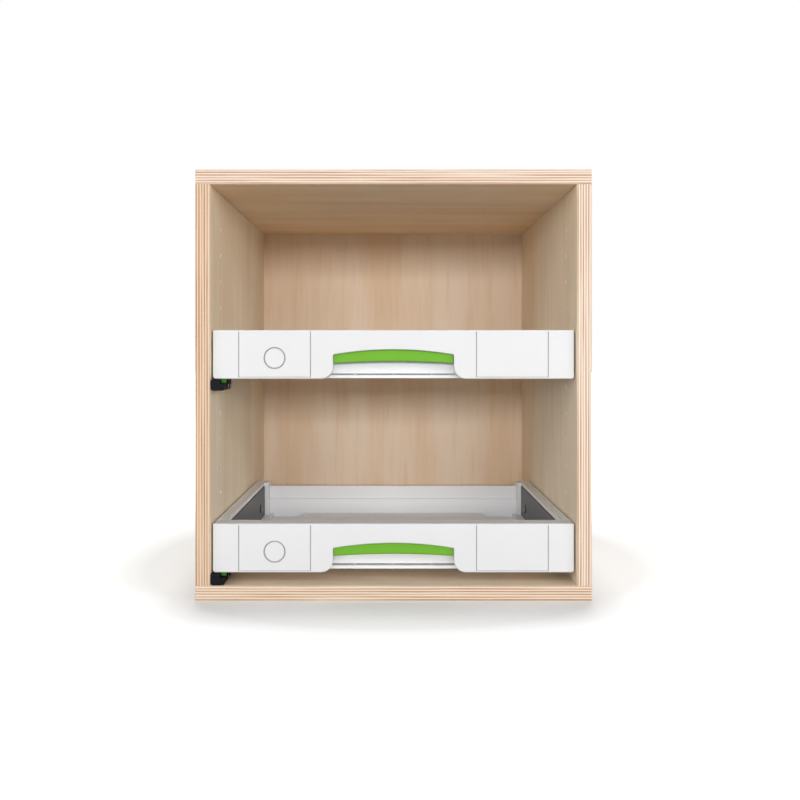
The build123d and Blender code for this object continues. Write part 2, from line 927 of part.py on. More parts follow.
def tray():
    """The moulded tray, open at the top."""
    front = cover_rear
    rear = drawer_rear
    shape = tray_floor_shape()
    for side in both_sides(tray_side()):
        shape += side
    shape += block(-tray_half, tray_half, front, front + tray_front_wall, tray_foot, drawer_height)
    shape += block(-tray_half, tray_half, rear - rear_wall, rear, tray_foot, drawer_height - rear_drop)
    shape += block(
        -plate_inner, plate_inner, rear - rear_wall - rear_ledge, rear, tray_foot, rear_ledge_height
    )
    lip_half = hand_half + hand_flare
    lip = block(-lip_half, lip_half, front - foot_lip_depth, front, tray_foot, tray_foot + foot_lip)
    shape += lip & slab(hand_outline(foot_lip_gap), front - foot_lip_depth, front)
    slot_foot = tray_foot + foot_lip
    slot_rear = front + tray_front_wall + platform_rib
    shape -= block(-lip_half, lip_half, front, slot_rear, slot_foot, slot_foot + foot_slot)
    for x, z in boss_places():
        shape -= bar_y(x, front, front + tray_front_wall, z, cover_screw[0])
    for setback in plate_screw_setbacks():
        y = rail_front + setback
        for x0 in (-tray_half, tray_half - tray_wall):
            shape -= bar_x(x0, x0 + tray_wall, y, rail_above_drawer_foot, plate_screw[0])
    return shape


def drawer():
    """Every piece that travels with a drawer, and its catch, with the drawer's foot at height zero."""
    made = slides()
    plates = both_sides(side_plate())
    made["tray"] = tray()
    made["front_cover"] = front_cover()
    made["blanking_cap"] = blanking_cap()
    made["left_side_plate"], made["right_side_plate"] = plates
    made["side_clips"] = mirrored_group([side_clip()])
    made["plate_screws"] = mirrored_group(plate_screws())
    made["cover_screws"] = group(cover_screws())
    made["release_lever"] = release_lever()
    made["lever_rod"] = lever_rod()
    made["release_crank"] = release_crank()
    made["latch_bolt"] = latch_bolt()
    made["latch_spring"] = latch_spring()
    made["catch_block"] = catch_block()
    made["catch_screws"] = group(catch_screws())
    return made


nodes = carcass()
drawer_nodes = drawer()
for drawer_name in drawer_rows:
    lift = Pos(0, 0, drawer_foot(drawer_name))
    for node_name, node in drawer_nodes.items():
        nodes[drawer_name + "_" + node_name] = lift * node

for node_name, node in nodes.items():
    export_step(node, "parts/" + node_name + ".step")
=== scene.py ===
"""Looks of a plywood drawer unit for tool cases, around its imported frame.

The carcass is birch plywood. Two moulded drawers hang in it on ball slides, each with an
arched hand opening and a green release lever. Sizes here are in millimetres where a name
ends in _mm, and in metres elsewhere. The front faces -Y.
"""

import json
import logging
import math
from dataclasses import dataclass, field
from enum import Enum
from typing import Any, Callable, Iterable, Optional, Sequence

import bmesh
import bpy
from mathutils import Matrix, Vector


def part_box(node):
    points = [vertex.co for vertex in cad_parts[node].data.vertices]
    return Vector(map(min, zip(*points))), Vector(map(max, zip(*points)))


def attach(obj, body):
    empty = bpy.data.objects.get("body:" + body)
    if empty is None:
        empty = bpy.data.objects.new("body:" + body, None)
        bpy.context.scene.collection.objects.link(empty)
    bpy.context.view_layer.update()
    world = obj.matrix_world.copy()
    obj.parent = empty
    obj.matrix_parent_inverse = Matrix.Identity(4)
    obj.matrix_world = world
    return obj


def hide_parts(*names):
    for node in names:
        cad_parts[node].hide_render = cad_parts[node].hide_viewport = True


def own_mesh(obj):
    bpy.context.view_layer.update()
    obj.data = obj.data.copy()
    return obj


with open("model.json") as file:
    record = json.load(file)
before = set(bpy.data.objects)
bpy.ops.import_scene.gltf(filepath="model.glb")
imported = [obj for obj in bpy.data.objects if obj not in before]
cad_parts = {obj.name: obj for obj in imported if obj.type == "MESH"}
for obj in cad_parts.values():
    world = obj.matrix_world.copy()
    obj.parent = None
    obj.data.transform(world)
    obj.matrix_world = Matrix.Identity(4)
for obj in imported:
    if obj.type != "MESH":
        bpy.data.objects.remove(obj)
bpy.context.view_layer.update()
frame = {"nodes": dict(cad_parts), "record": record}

log = logging.getLogger("drawer_unit")

MM = 0.001
# Corners and faces closer than this, in metres, count as being in the same place.
NEAR = 1e-6
# Edges that turn by more than the first are rounded, and by more than the second are shaded sharp.
ROUNDED_ABOVE = math.radians(35)
SHARP_ABOVE = math.radians(50)
PHOTO_PX = 800

Colour = tuple[float, float, float, float]
Point = tuple[float, float, float]


class Direction(Enum):
    """One of the three directions of the frame."""

    X = 0
    Y = 1
    Z = 2


class Element(Enum):
    """What edit mode selects."""

    CORNERS = "VERT"
    EDGES = "EDGE"
    FACES = "FACE"


class DrawerPlace(Enum):
    """Which of the two drawers a piece belongs to."""

    LOWER = "lower"
    UPPER = "upper"

    def node(self, name: str) -> str:
        """The name of this drawer's own node."""
        return f"{self.value}_{name}"


# Colours and shader nodes


def linear(hex_colour: str) -> Colour:
    """Turns an sRGB colour into the linear values that the shaders use.

    Args:
        hex_colour: Six hex digits, such as "76BC34".

    Returns:
        Red, green, blue and an alpha of 1.
    """
    parts = [int(hex_colour[i:i + 2], 16) / 255 for i in (0, 2, 4)]
    low = [part / 12.92 if part <= 0.04045 else ((part + 0.055) / 1.055) ** 2.4 for part in parts]
    return (low[0], low[1], low[2], 1.0)


def add_node(
    tree: bpy.types.NodeTree, kind: str, inputs: Optional[dict[Any, Any]] = None, **settings: Any
) -> Any:
    """Adds one shader node with its settings and links.

    Args:
        tree: The material's or world's node tree.
        kind: The node's type name, without the ShaderNode that all begin with.
        inputs: Input name or number, to a value or to another node's output socket.
        **settings: The node's own properties, set before its inputs.

    Returns:
        The new node.
    """
    node = tree.nodes.new(f"ShaderNode{kind}")
    for name, value in settings.items():
        setattr(node, name, value)
    for name, value in (inputs or {}).items():
        if isinstance(value, bpy.types.NodeSocket):
            tree.links.new(value, node.inputs[name])
        else:
            node.inputs[name].default_value = value
    return node


@dataclass(frozen=True)
class Finish:
    """A surface finish. Its subclasses say what the material is and how its surface was made."""

    name: str
    slot: str

    def material(self) -> bpy.types.Material:
        """Makes the finish's material once and then shares it.

        Returns:
            The material.
        """
        made = bpy.data.materials.get(self.name)
        if made is None:
            made = bpy.data.materials.new(self.name)
            made.use_nodes = True
            tree = made.node_tree
            tree.nodes.clear()
            add_node(tree, "OutputMaterial", {"Surface": self.shader(tree)})
        return made

    def shader(self, tree: bpy.types.NodeTree) -> Any:
        """Builds the finish in an empty tree.

        Args:
            tree: The material's node tree.

        Returns:
            The shader's output socket.
        """
        raise NotImplementedError

    def drawn_out(
        self, tree: bpy.types.NodeTree, place: Any, width_mm: float, stretch: Sequence[float], **noise: float
    ) -> Any:
        """A cloudy pattern, drawn out along one or two directions.

        Args:
            tree: The material's node tree.
            place: The object coordinates.
            width_mm: How wide the clouds are.
            stretch: A scale for each direction, below 1 where the clouds are longer than wide.
            **noise: The pattern's Detail and Roughness.

        Returns:
            The pattern's socket.
        """
        drawn = add_node(tree, "Mapping", {"Vector": place, "Scale": stretch})
        inputs = {"Vector": drawn.outputs[0], "Scale": 1 / (width_mm * MM), **noise}
        return add_node(tree, "TexNoise", inputs).outputs["Fac"]

    def surface(
        self,
        tree: bpy.types.NodeTree,
        colour: Any,
        gloss: Any,
        rough: tuple[float, float],
        height: Any,
        depth_mm: float,
        strength: float = 0.3,
        base: Optional[dict[str, Any]] = None,
        looks: Optional[dict[str, float]] = None,
    ) -> Any:
        """Puts a finish together from its colour and from the patterns of its gloss and relief.

        Args:
            tree: The material's node tree.
            colour: The colour's socket.
            gloss: The socket of the pattern that the gloss follows.
            rough: The roughness at that pattern's low and high ends.
            height: The socket of the pattern that stands out.
            depth_mm: How deep the relief is.
            strength: How strongly the relief shows.
            base: The normal that the relief starts from, where it isn't the mesh's own.
            looks: Further inputs of the shader.

        Returns:
            The shader's output socket.
        """
        roughness = add_node(tree, "MapRange", {"Value": gloss, "To Min": rough[0], "To Max": rough[1]})
        relief = add_node(
            tree, "Bump", {"Height": height, "Strength": strength, "Distance": depth_mm * MM, **(base or {})}
        )
        return add_node(
            tree,
            "BsdfPrincipled",
            {
                "Base Color": colour,
                "Roughness": roughness.outputs[0],
                "Normal": relief.outputs[0],
                **(looks or {}),
            },
        ).outputs[0]


@dataclass(frozen=True)
class Figure:
    """One layer of wood figure: soft marks of one colour, drawn out along the grain.

    Stretch is a mark's width over its length. The marks grow from nothing, where the pattern
    passes starts, to their full share, where it passes ends.
    """

    colour: str
    width_mm: float
    stretch: float
    detail: float
    broken: float
    starts: float
    ends: float
    share: float = 1.0
    blend: str = "SMOOTHSTEP"


@dataclass(frozen=True)
class BirchPlywood(Finish):
    """Birch plywood, sanded: pale rotary-cut veneer on its faces, thin plies in turn on its edges."""

    thickness: Direction = Direction.X
    grain: Direction = Direction.Z
    lowest: Point = (0.0, 0.0, 0.0)
    highest: Point = (1.0, 1.0, 1.0)
    board_mm: float = 17.0
    plies: int = 11
    light: str = "F9E5CF"
    dark: str = "F0D4B6"
    streak: str = "DDB894"
    edge_light: str = "F0DAC4"
    edge_dark: str = "C89A78"
    glue: str = "8A5F47"
    # Near white: the paler fresh-cut wood, brightened as painted light.
    fresh_cut_and_painted_light: str = "FFFBF2"
    edge_rough: float = 0.66
    face_rough: float = 0.52
    oil_sheen: float = 0.35
    relief_mm: float = 0.1
    wander_mm: float = 0.6
    wander_length_mm: float = 60.0
    tone_mm: float = 3.0
    tone_stretch: float = 0.015
    grit_mm: float = 0.9
    glue_share: float = 0.8
    outline_mm: float = 3.0

    def shader(self, tree: bpy.types.NodeTree) -> Any:
        """Faces and edges are told apart by the board's own normal.

        Args:
            tree: The material's node tree.

        Returns:
            The shader's output socket.
        """
        where = add_node(tree, "TexCoord")
        turned = add_node(tree, "SeparateXYZ", {"Vector": where.outputs["Normal"]})
        facing = add_node(tree, "Math", {0: turned.outputs[self.thickness.value]}, operation="ABSOLUTE")
        is_face = add_node(tree, "Math", {0: facing.outputs[0], 1: 0.6}, operation="GREATER_THAN")
        veneer, fibre = self.veneer(tree, where.outputs["Object"])
        plies, grit = self.plies_in_turn(tree, where.outputs["Object"])
        colour = add_node(tree, "Mix", {0: is_face.outputs[0], 6: plies, 7: veneer}, data_type="RGBA")
        height = add_node(tree, "Mix", {0: is_face.outputs[0], 2: grit, 3: fibre})
        return self.surface(
            tree,
            colour.outputs[2],
            height.outputs[0],
            (self.edge_rough, self.face_rough),
            height.outputs[0],
            self.relief_mm,
            looks={"Specular IOR Level": self.oil_sheen},
        )

    def figures(self) -> list[Figure]:
        """Says which layers of figure the veneer has.

        Returns:
            The layers, the finest last.
        """
        return [
            # Broad soft bands, 70 mm wide and eight times as long.
            Figure(self.light, 70.0, 0.12, 4.0, broken=0.62, starts=0.36, ends=0.64),
            # Narrow darker figure, 8 mm wide and 120 mm long, in places only.
            Figure(self.streak, 8.0, 0.07, 2.0, broken=0.5, starts=0.5, ends=0.8, share=0.3),
            # Vessels are 0.1 mm wide, drawn here as fibres 0.9 mm wide so that they show.
            Figure(self.streak, 0.9, 0.03, 2.0, broken=0.6, starts=0.6, ends=0.8, share=0.18, blend="LINEAR"),
        ]

    def veneer(self, tree: bpy.types.NodeTree, place: Any) -> tuple[Any, Any]:
        """Broad soft bands, faint fibres and a few short flecks, as rotary-cut birch shows.

        Args:
            tree: The material's node tree.
            place: The object coordinates.

        Returns:
            The colour and the height sockets.
        """
        colour, pattern = linear(self.dark), None
        for figure in self.figures():
            stretch = [figure.stretch if i == self.grain.value else 1.0 for i in range(3)]
            pattern = self.drawn_out(
                tree, place, figure.width_mm, stretch, Detail=figure.detail, Roughness=figure.broken
            )
            marks = add_node(
                tree,
                "MapRange",
                {
                    "Value": pattern,
                    "From Min": figure.starts,
                    "From Max": figure.ends,
                    "To Max": figure.share,
                },
                interpolation_type=figure.blend,
            )
            colour = add_node(
                tree, "Mix", {0: marks.outputs[0], 6: colour, 7: linear(figure.colour)}, data_type="RGBA"
            ).outputs[2]
        return colour, pattern

    def plies_in_turn(self, tree: bpy.types.NodeTree, place: Any) -> tuple[Any, Any]:
        """Plies seen on an edge: light long grain and dark end grain in turn, with glue lines between.

        Args:
            tree: The material's node tree.
            place: The object coordinates.

        Returns:
            The colour and the height sockets.
        """
        turn = self.ply_turn(tree, place)
        is_dark = add_node(
            tree,
            "MapRange",
            {"Value": turn, "From Min": 0.42, "From Max": 0.6},
            interpolation_type="SMOOTHSTEP",
        )
        # Each ply has a tone of its own, which changes slowly along 200 mm of it.
        stretch = [1.0 if i == self.thickness.value else self.tone_stretch for i in range(3)]
        tone = self.drawn_out(tree, place, self.tone_mm, stretch, Detail=2.0, Roughness=0.7)
        strength = add_node(
            tree, "MapRange", {"Value": tone, "From Min": 0.32, "From Max": 0.58, "To Min": 0.3}
        )
        # Open ends of the fibres are drawn 0.9 mm wide so that they show.
        grit = add_node(tree, "TexNoise", {"Vector": place, "Scale": 1 / (self.grit_mm * MM), "Detail": 2.0})
        dark = add_node(
            tree,
            "Mix",
            {0: grit.outputs["Fac"], 6: linear(self.edge_dark), 7: linear(self.streak)},
            data_type="RGBA",
        )
        shown = add_node(tree, "Math", {0: is_dark.outputs[0], 1: strength.outputs[0]}, operation="MULTIPLY")
        plies = add_node(
            tree,
            "Mix",
            {0: shown.outputs[0], 6: linear(self.edge_light), 7: dark.outputs[2]},
            data_type="RGBA",
        )
        # The glue lines lie half-way between the middles of two plies.
        line = add_node(tree, "Math", {0: turn, 1: 0.5, 2: 0.08}, operation="COMPARE")
        glued = add_node(tree, "Math", {0: line.outputs[0], 1: strength.outputs[0]}, operation="MULTIPLY")
        thin = add_node(tree, "Math", {0: glued.outputs[0], 1: self.glue_share}, operation="MULTIPLY")
        edge = add_node(
            tree, "Mix", {0: thin.outputs[0], 6: plies.outputs[2], 7: linear(self.glue)}, data_type="RGBA"
        )
        # The walls of bored holes lie inside the board's outline. Their fresh-cut wood is paler, and it is
        # painted near white as painted light, so that the shaded hole walls read as lit.
        cut = add_node(
            tree,
            "Mix",
            {0: self.inside_outline(tree, place), 6: edge.outputs[2], 7: linear(self.fresh_cut_and_painted_light)},
            data_type="RGBA",
        )
        return cut.outputs[2], grit.outputs["Fac"]

    def ply_turn(self, tree: bpy.types.NodeTree, place: Any) -> Any:
        """Counts the plies from the board's lower face.

        Args:
            tree: The material's node tree.
            place: The object coordinates.

        Returns:
            The socket of a value that is 0 in the middle of a light ply and 1 in that of a dark one.
        """
        split = add_node(tree, "SeparateXYZ", {"Vector": place})
        # The plies wander by about 0.3 mm over 60 mm of the board.
        drift = add_node(
            tree, "TexNoise", {"Vector": place, "Scale": 1 / (self.wander_length_mm * MM), "Detail": 2.0}
        )
        wander = add_node(
            tree, "Math", {0: drift.outputs["Fac"], 1: self.wander_mm * MM}, operation="MULTIPLY"
        )
        depth = add_node(
            tree, "Math", {0: split.outputs[self.thickness.value], 1: wander.outputs[0]}, operation="ADD"
        )
        first = self.lowest[self.thickness.value]
        ply = add_node(
            tree,
            "MapRange",
            {
                "Value": depth.outputs[0],
                "From Min": first,
                "From Max": first + self.board_mm / self.plies * MM,
            },
            clamp=False,
        )
        return add_node(tree, "Math", {0: ply.outputs[0], 1: 1.0}, operation="PINGPONG").outputs[0]

    def inside_outline(self, tree: bpy.types.NodeTree, place: Any) -> Any:
        """Tells the board's middle from its four edges.

        Args:
            tree: The material's node tree.
            place: The object coordinates.

        Returns:
            The socket of a value that is 1 further than outline_mm from every edge, and else 0.
        """
        centre = [(low + high) / 2 for low, high in zip(self.lowest, self.highest)]
        half = [(high - low) / 2 for low, high in zip(self.lowest, self.highest)]
        apart = add_node(tree, "VectorMath", {0: place, 1: centre}, operation="SUBTRACT")
        share = add_node(tree, "VectorMath", {0: apart.outputs[0], 1: half}, operation="DIVIDE")
        size = add_node(tree, "VectorMath", {0: share.outputs[0]}, operation="ABSOLUTE")
        across = add_node(tree, "SeparateXYZ", {"Vector": size.outputs[0]})
        within = [
            add_node(
                tree,
                "Math",
                {0: across.outputs[i], 1: 1 - self.outline_mm * MM / half[i]},
                operation="LESS_THAN",
            )
            for i in range(3)
            if i != self.thickness.value
        ]
        return add_node(
            tree, "Math", {0: within[0].outputs[0], 1: within[1].outputs[0]}, operation="MULTIPLY"
        ).outputs[0]


@dataclass(frozen=True)
class TwoTone(Finish):
    """A finish of one colour, with faint clouds of a second tone in it."""

    colour: str = "F3F4F6"
    shade: str = "EFF0F3"
    roughness: float = 0.45
    cloud_mm: float = 55.0
    cloud_detail: float = 2.0

    def clouds(self, tree: bpy.types.NodeTree, place: Any) -> tuple[Any, Any]:
        """Lays the clouds of the second tone over the first.

        Args:
            tree: The material's node tree.
            place: The object coordinates.

        Returns:
            The sockets of the colour and of the clouds.
        """
        size = {"Scale": 1 / (self.cloud_mm * MM), "Detail": self.cloud_detail}
        cloud = add_node(tree, "TexNoise", {"Vector": place, **size}).outputs["Fac"]
        colour = add_node(
            tree, "Mix", {0: cloud, 6: linear(self.colour), 7: linear(self.shade)}, data_type="RGBA"
        )
        return colour.outputs[2], cloud


@dataclass(frozen=True)
class MouldedPlastic(TwoTone):
    """Injection-moulded ABS or nylon. Its spark-eroded grain breaks up the gloss."""

    sheen: float = 0.5
    refraction: float = 1.53
    unevenness: float = 0.06
    grain_mm: float = 0.7
    grain_depth_mm: float = 0.02
    edge_mm: float = 0.35

    def shader(self, tree: bpy.types.NodeTree) -> Any:
        """The grain is drawn at 0.7 mm, coarser than the real 0.2 mm, so that it shows.

        Args:
            tree: The material's node tree.

        Returns:
            The shader's output socket.
        """
        place = add_node(tree, "TexCoord").outputs["Object"]
        grain = add_node(
            tree, "TexNoise", {"Vector": place, "Scale": 1 / (self.grain_mm * MM), "Detail": 2.0}
        ).outputs["Fac"]
        # Moulded edges are a little round.
        edge = add_node(tree, "Bevel", {"Radius": self.edge_mm * MM}, samples=4)
        return self.surface(
            tree,
            self.tint(tree),
            grain,
            (self.roughness - self.unevenness, self.roughness + self.unevenness),
            grain,
            self.grain_depth_mm,
            base={"Normal": edge.outputs[0]},
            looks={"IOR": self.refraction, "Specular IOR Level": self.sheen},
        )

    def tint(self, tree: bpy.types.NodeTree) -> Any:
        """The plastic's colour, with faint clouds about 55 mm wide."""
        return self.clouds(tree, add_node(tree, "TexCoord").outputs["Object"])[0]


@dataclass(frozen=True)
class FrontPlastic(MouldedPlastic):
    """The drawer front's white ABS, with painted shade at the bottom of its grooves."""

    face_mm: float = -219.0
    groove_mm: float = 1.1
    # Painted shade: the colour at the bottom of the grooves.
    groove_shade: str = "A6A6A4"

    def tint(self, tree: bpy.types.NodeTree) -> Any:
        """White, with painted shade at the bottom of the grooves.

        Args:
            tree: The material's node tree.

        Returns:
            The colour's output socket.
        """
        where = add_node(tree, "TexCoord")
        place = add_node(tree, "SeparateXYZ", {"Vector": where.outputs["Object"]})
        # Painted shade: the colour darkens towards the bottom of the grooves, on faces that look forward.
        depth = add_node(
            tree,
            "MapRange",
            {
                "Value": place.outputs["Y"],
                "From Min": (self.face_mm + 0.5 * self.groove_mm) * MM,
                "From Max": (self.face_mm + self.groove_mm) * MM,
            },
        )
        turned = add_node(tree, "SeparateXYZ", {"Vector": where.outputs["Normal"]})
        faces = add_node(tree, "Math", {0: turned.outputs["Y"], 1: -0.9}, operation="LESS_THAN")
        groove_shaded = add_node(tree, "Math", {0: depth.outputs[0], 1: faces.outputs[0]}, operation="MULTIPLY")
        return add_node(
            tree, "Mix", {0: groove_shaded.outputs[0], 6: super().tint(tree), 7: linear(self.groove_shade)}, data_type="RGBA"
        ).outputs[2]


@dataclass(frozen=True)
class PowderCoat(TwoTone):
    """Powder-coated sheet steel: a matt film with a fine orange peel."""

    colour: str = "5F6062"
    shade: str = "565759"
    roughness: float = 0.5
    cloud_mm: float = 30.0
    cloud_detail: float = 3.0
    peel_mm: float = 1.2
    peel_depth_mm: float = 0.03

    def shader(self, tree: bpy.types.NodeTree) -> Any:
        """The orange peel's dimples are about 1.2 mm across.

        Args:
            tree: The material's node tree.

        Returns:
            The shader's output socket.
        """
        place = add_node(tree, "TexCoord").outputs["Object"]
        peel = add_node(
            tree, "TexNoise", {"Vector": place, "Scale": 1 / (self.peel_mm * MM), "Detail": 2.0}
        ).outputs["Fac"]
        colour, _ = self.clouds(tree, place)
        rough = (self.roughness - 0.08, self.roughness + 0.08)
        return self.surface(tree, colour, peel, rough, peel, self.peel_depth_mm, strength=0.4)


@dataclass(frozen=True)
class PlatedSteel(TwoTone):
    """Rolled strip or turned steel with a thin zinc or bright plating."""

    colour: str = "C9CCD0"
    shade: str = "AEB2B6"
    roughness: float = 0.32
    cloud_mm: float = 12.0
    cloud_detail: float = 3.0
    rolled: Direction = Direction.Y
    line_mm: float = 0.5
    line_depth_mm: float = 0.01

    def shader(self, tree: bpy.types.NodeTree) -> Any:
        """Zinc clouds about 12 mm wide, and rolling lines about 0.5 mm apart along the strip.

        Args:
            tree: The material's node tree.

        Returns:
            The shader's output socket.
        """
        place = add_node(tree, "TexCoord").outputs["Object"]
        colour, cloud = self.clouds(tree, place)
        along = [0.03 if i == self.rolled.value else 1.0 for i in range(3)]
        lines = self.drawn_out(tree, place, self.line_mm, along, Detail=2.0)
        rough = (self.roughness - 0.07, self.roughness + 0.1)
        return self.surface(
            tree, colour, cloud, rough, lines, self.line_depth_mm, strength=0.25, looks={"Metallic": 1.0}
        )


@dataclass(frozen=True)
class TurnedBeech(Finish):
    """Raw turned beech: pinkish, with short dark ray flecks along the grain."""

    colour: str = "D9B48C"
    fleck: str = "B58658"
    fleck_mm: float = 0.8
    fleck_stretch: float = 0.25
    relief_mm: float = 0.05

    def shader(self, tree: bpy.types.NodeTree) -> Any:
        """The flecks are about 0.8 mm wide and four times as long.

        Args:
            tree: The material's node tree.

        Returns:
            The shader's output socket.
        """
        place = add_node(tree, "TexCoord").outputs["Object"]
        flecks = self.drawn_out(tree, place, self.fleck_mm, (1.0, 1.0, self.fleck_stretch), Detail=3.0)
        spots = add_node(tree, "MapRange", {"Value": flecks, "From Min": 0.52, "From Max": 0.7})
        colour = add_node(
            tree,
            "Mix",
            {0: spots.outputs[0], 6: linear(self.colour), 7: linear(self.fleck)},
            data_type="RGBA",
        )
        return self.surface(tree, colour.outputs[2], flecks, (0.6, 0.75), flecks, self.relief_mm)


# Moulded ABS, spark-eroded mould: a clean satin white for the trays.
WHITE_ABS = MouldedPlastic("white_abs", "white_plastic")
# The same ABS, a touch greyer, so that the lit fronts keep their shading, with painted shade in its fine
# grooves.
FRONT_ABS = FrontPlastic("front_white_abs", "white_plastic", "E5E5E6", "E1E1E2")
# The cap's own moulding, which matches the front and leaves only its ring to see.
CAP_ABS = MouldedPlastic("cap_white_abs", "white_plastic", "E5E5E6", "E1E1E2")
# Moulded ABS, dyed through: the bright yellow-green of the levers, the one strong colour.
GREEN_ABS = MouldedPlastic("green_abs", "green_plastic", "6EAE2B", "69A828", 0.42, sheen=0.4)
# Moulded nylon, duller than the levers, with the levers' green painted darker as painted shade: a small green
# tip in the catch, under the drawer front.
SHADED_GREEN_NYLON = MouldedPlastic("shaded_green_nylon", "green_plastic", "3F7A24", "3A7220", 0.5, sheen=0.2)
# Moulded glass-filled nylon: nearly black and dull, so that catches and slots read as dark shapes.
BLACK_NYLON = MouldedPlastic("black_nylon", "black_plastic", "101113", "16171A", 0.55, sheen=0.12)
# Moulded undyed nylon: cream-coloured cages between the bright balls.
NATURAL_NYLON = MouldedPlastic("natural_nylon", "cage_plastic", "DEDACB", "D2CDBC")
# Pressed sheet, powder-coated: the mid-grey side plates, matt and slightly dimpled.
DARK_PLATE = PowderCoat("dark_powder_coat", "dark_steel")
# Cold-rolled strip, zinc-plated: cool silver slides with faint lengthwise lines.
ZINC_STRIP = PlatedSteel("zinc_strip", "zinc_steel")
# Cold-headed and zinc-plated: small cool glints at the screws.
ZINC_SCREW = PlatedSteel("zinc_screw", "zinc_steel", "C4C6C8", "A9ABAE", 0.3, rolled=Direction.Z)
# Ground or drawn and polished: sharp small highlights on balls, rods and springs.
BRIGHT_STEEL = PlatedSteel("bright_steel", "bright_steel", "D5D6D8", "C6C8CA", 0.16, rolled=Direction.X)
# Turned beech: warm, pinkish, flecked pins in the corners.
BEECH = TurnedBeech("beech_dowel", "beech")


# Modelling


def start_clean() -> None:
    """Goes back to object mode with nothing selected."""
    if bpy.context.mode != "OBJECT":
        bpy.ops.object.mode_set(mode="OBJECT")
    bpy.ops.object.select_all(action="DESELECT")


def pick(kind: Element, test: Callable[[Any], bool]) -> None:
    """Selects the corners, edges or faces of the mesh in edit mode that pass a test.

    Args:
        kind: What to select.
        test: Says whether a corner, edge or face is wanted.
    """
    bpy.ops.mesh.select_mode(type=kind.value)
    bpy.ops.mesh.select_all(action="DESELECT")
    mesh = bmesh.from_edit_mesh(bpy.context.edit_object.data)
    lists = {Element.CORNERS: mesh.verts, Element.EDGES: mesh.edges, Element.FACES: mesh.faces}
    for element in lists[kind]:
        if test(element):
            element.select_set(True)
    mesh.select_flush_mode()
    bmesh.update_edit_mesh(bpy.context.edit_object.data)


def turn_outwards() -> None:
    """Turns all faces outwards and leaves edit mode."""
    bpy.ops.mesh.select_all(action="SELECT")
    bpy.ops.mesh.normals_make_consistent(inside=False)
    bpy.ops.object.mode_set(mode="OBJECT")


def settle(name: str) -> bpy.types.Object:
    """Names the new primitive and moves its place, turn and scale into its mesh.

    Args:
        name: The piece's name.

    Returns:
        The piece, at the origin.
    """
    piece = bpy.context.active_object
    piece.name = name
    bpy.ops.object.transform_apply(location=True, rotation=True, scale=True)
    return piece


def ease(piece: bpy.types.Object, width_mm: float) -> None:
    """Rounds a piece's sharp edges a little and shades the rest smooth.

    Args:
        piece: The piece.
        width_mm: How wide the rounding is.
    """
    start_clean()
    bpy.context.view_layer.objects.active = piece
    piece.select_set(True)
    rounding = piece.modifiers.new("rounding", "BEVEL")
    rounding.width = width_mm * MM
    rounding.segments = 2
    rounding.limit_method = "ANGLE"
    rounding.angle_limit = ROUNDED_ABOVE
    bpy.ops.object.modifier_apply(modifier="rounding")
    bpy.ops.object.shade_smooth_by_angle(angle=SHARP_ABOVE)
    # Large flat faces keep their own direction, so that no shade runs over them from their rounded edges.
    shading = piece.modifiers.new("shading", "WEIGHTED_NORMAL")
    shading.mode = "FACE_AREA"
    shading.weight = 100
    shading.keep_sharp = True
    bpy.ops.object.modifier_apply(modifier="shading")


def eased_copy(node: str, width_mm: float) -> bpy.types.Object:
    """Copies a frame node's shape and rounds its edges, as moulding or sanding leaves them.

    Args:
        node: The node's name.
        width_mm: How wide the rounding is.

    Returns:
        The new piece.
    """
    start_clean()
    piece = bpy.data.objects.new(f"{node}_shape", frame["nodes"][node].data.copy())
    bpy.context.scene.collection.objects.link(piece)
    bpy.context.view_layer.objects.active = piece
    piece.select_set(True)
    bpy.ops.object.mode_set(mode="EDIT")
    bpy.ops.mesh.select_all(action="SELECT")
    bpy.ops.mesh.remove_doubles(threshold=NEAR)
    bpy.ops.mesh.dissolve_limited(angle_limit=math.radians(0.5))
    bpy.ops.object.mode_set(mode="OBJECT")
    ease(piece, width_mm)
    return piece


def dress(node: str, finish: Finish) -> None:
    """Gives a frame node its finish.

    Args:
        node: The node's name.
        finish: The finish.
    """
    slots = frame["nodes"][node].data.materials
    slots.clear()
    slots.append(finish.material())
    log.info("%s: %s", node, finish.name)


def stand_in(piece: bpy.types.Object, node: str, finish: Finish) -> None:
    """Puts a new piece in a frame node's place, on that node's body.

    Args:
        piece: The new piece.
        node: The node that it stands for.
        finish: The piece's finish.
    """
    piece.data.materials.clear()
    piece.data.materials.append(finish.material())
    bodies = frame["record"]["behaviour"]["bodies"]
    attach(piece, next(body for body, nodes in bodies.items() if node in nodes))
    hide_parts(node)
    log.info("%s: modelled, %s", piece.name, finish.name)


# The carcass and the drawers


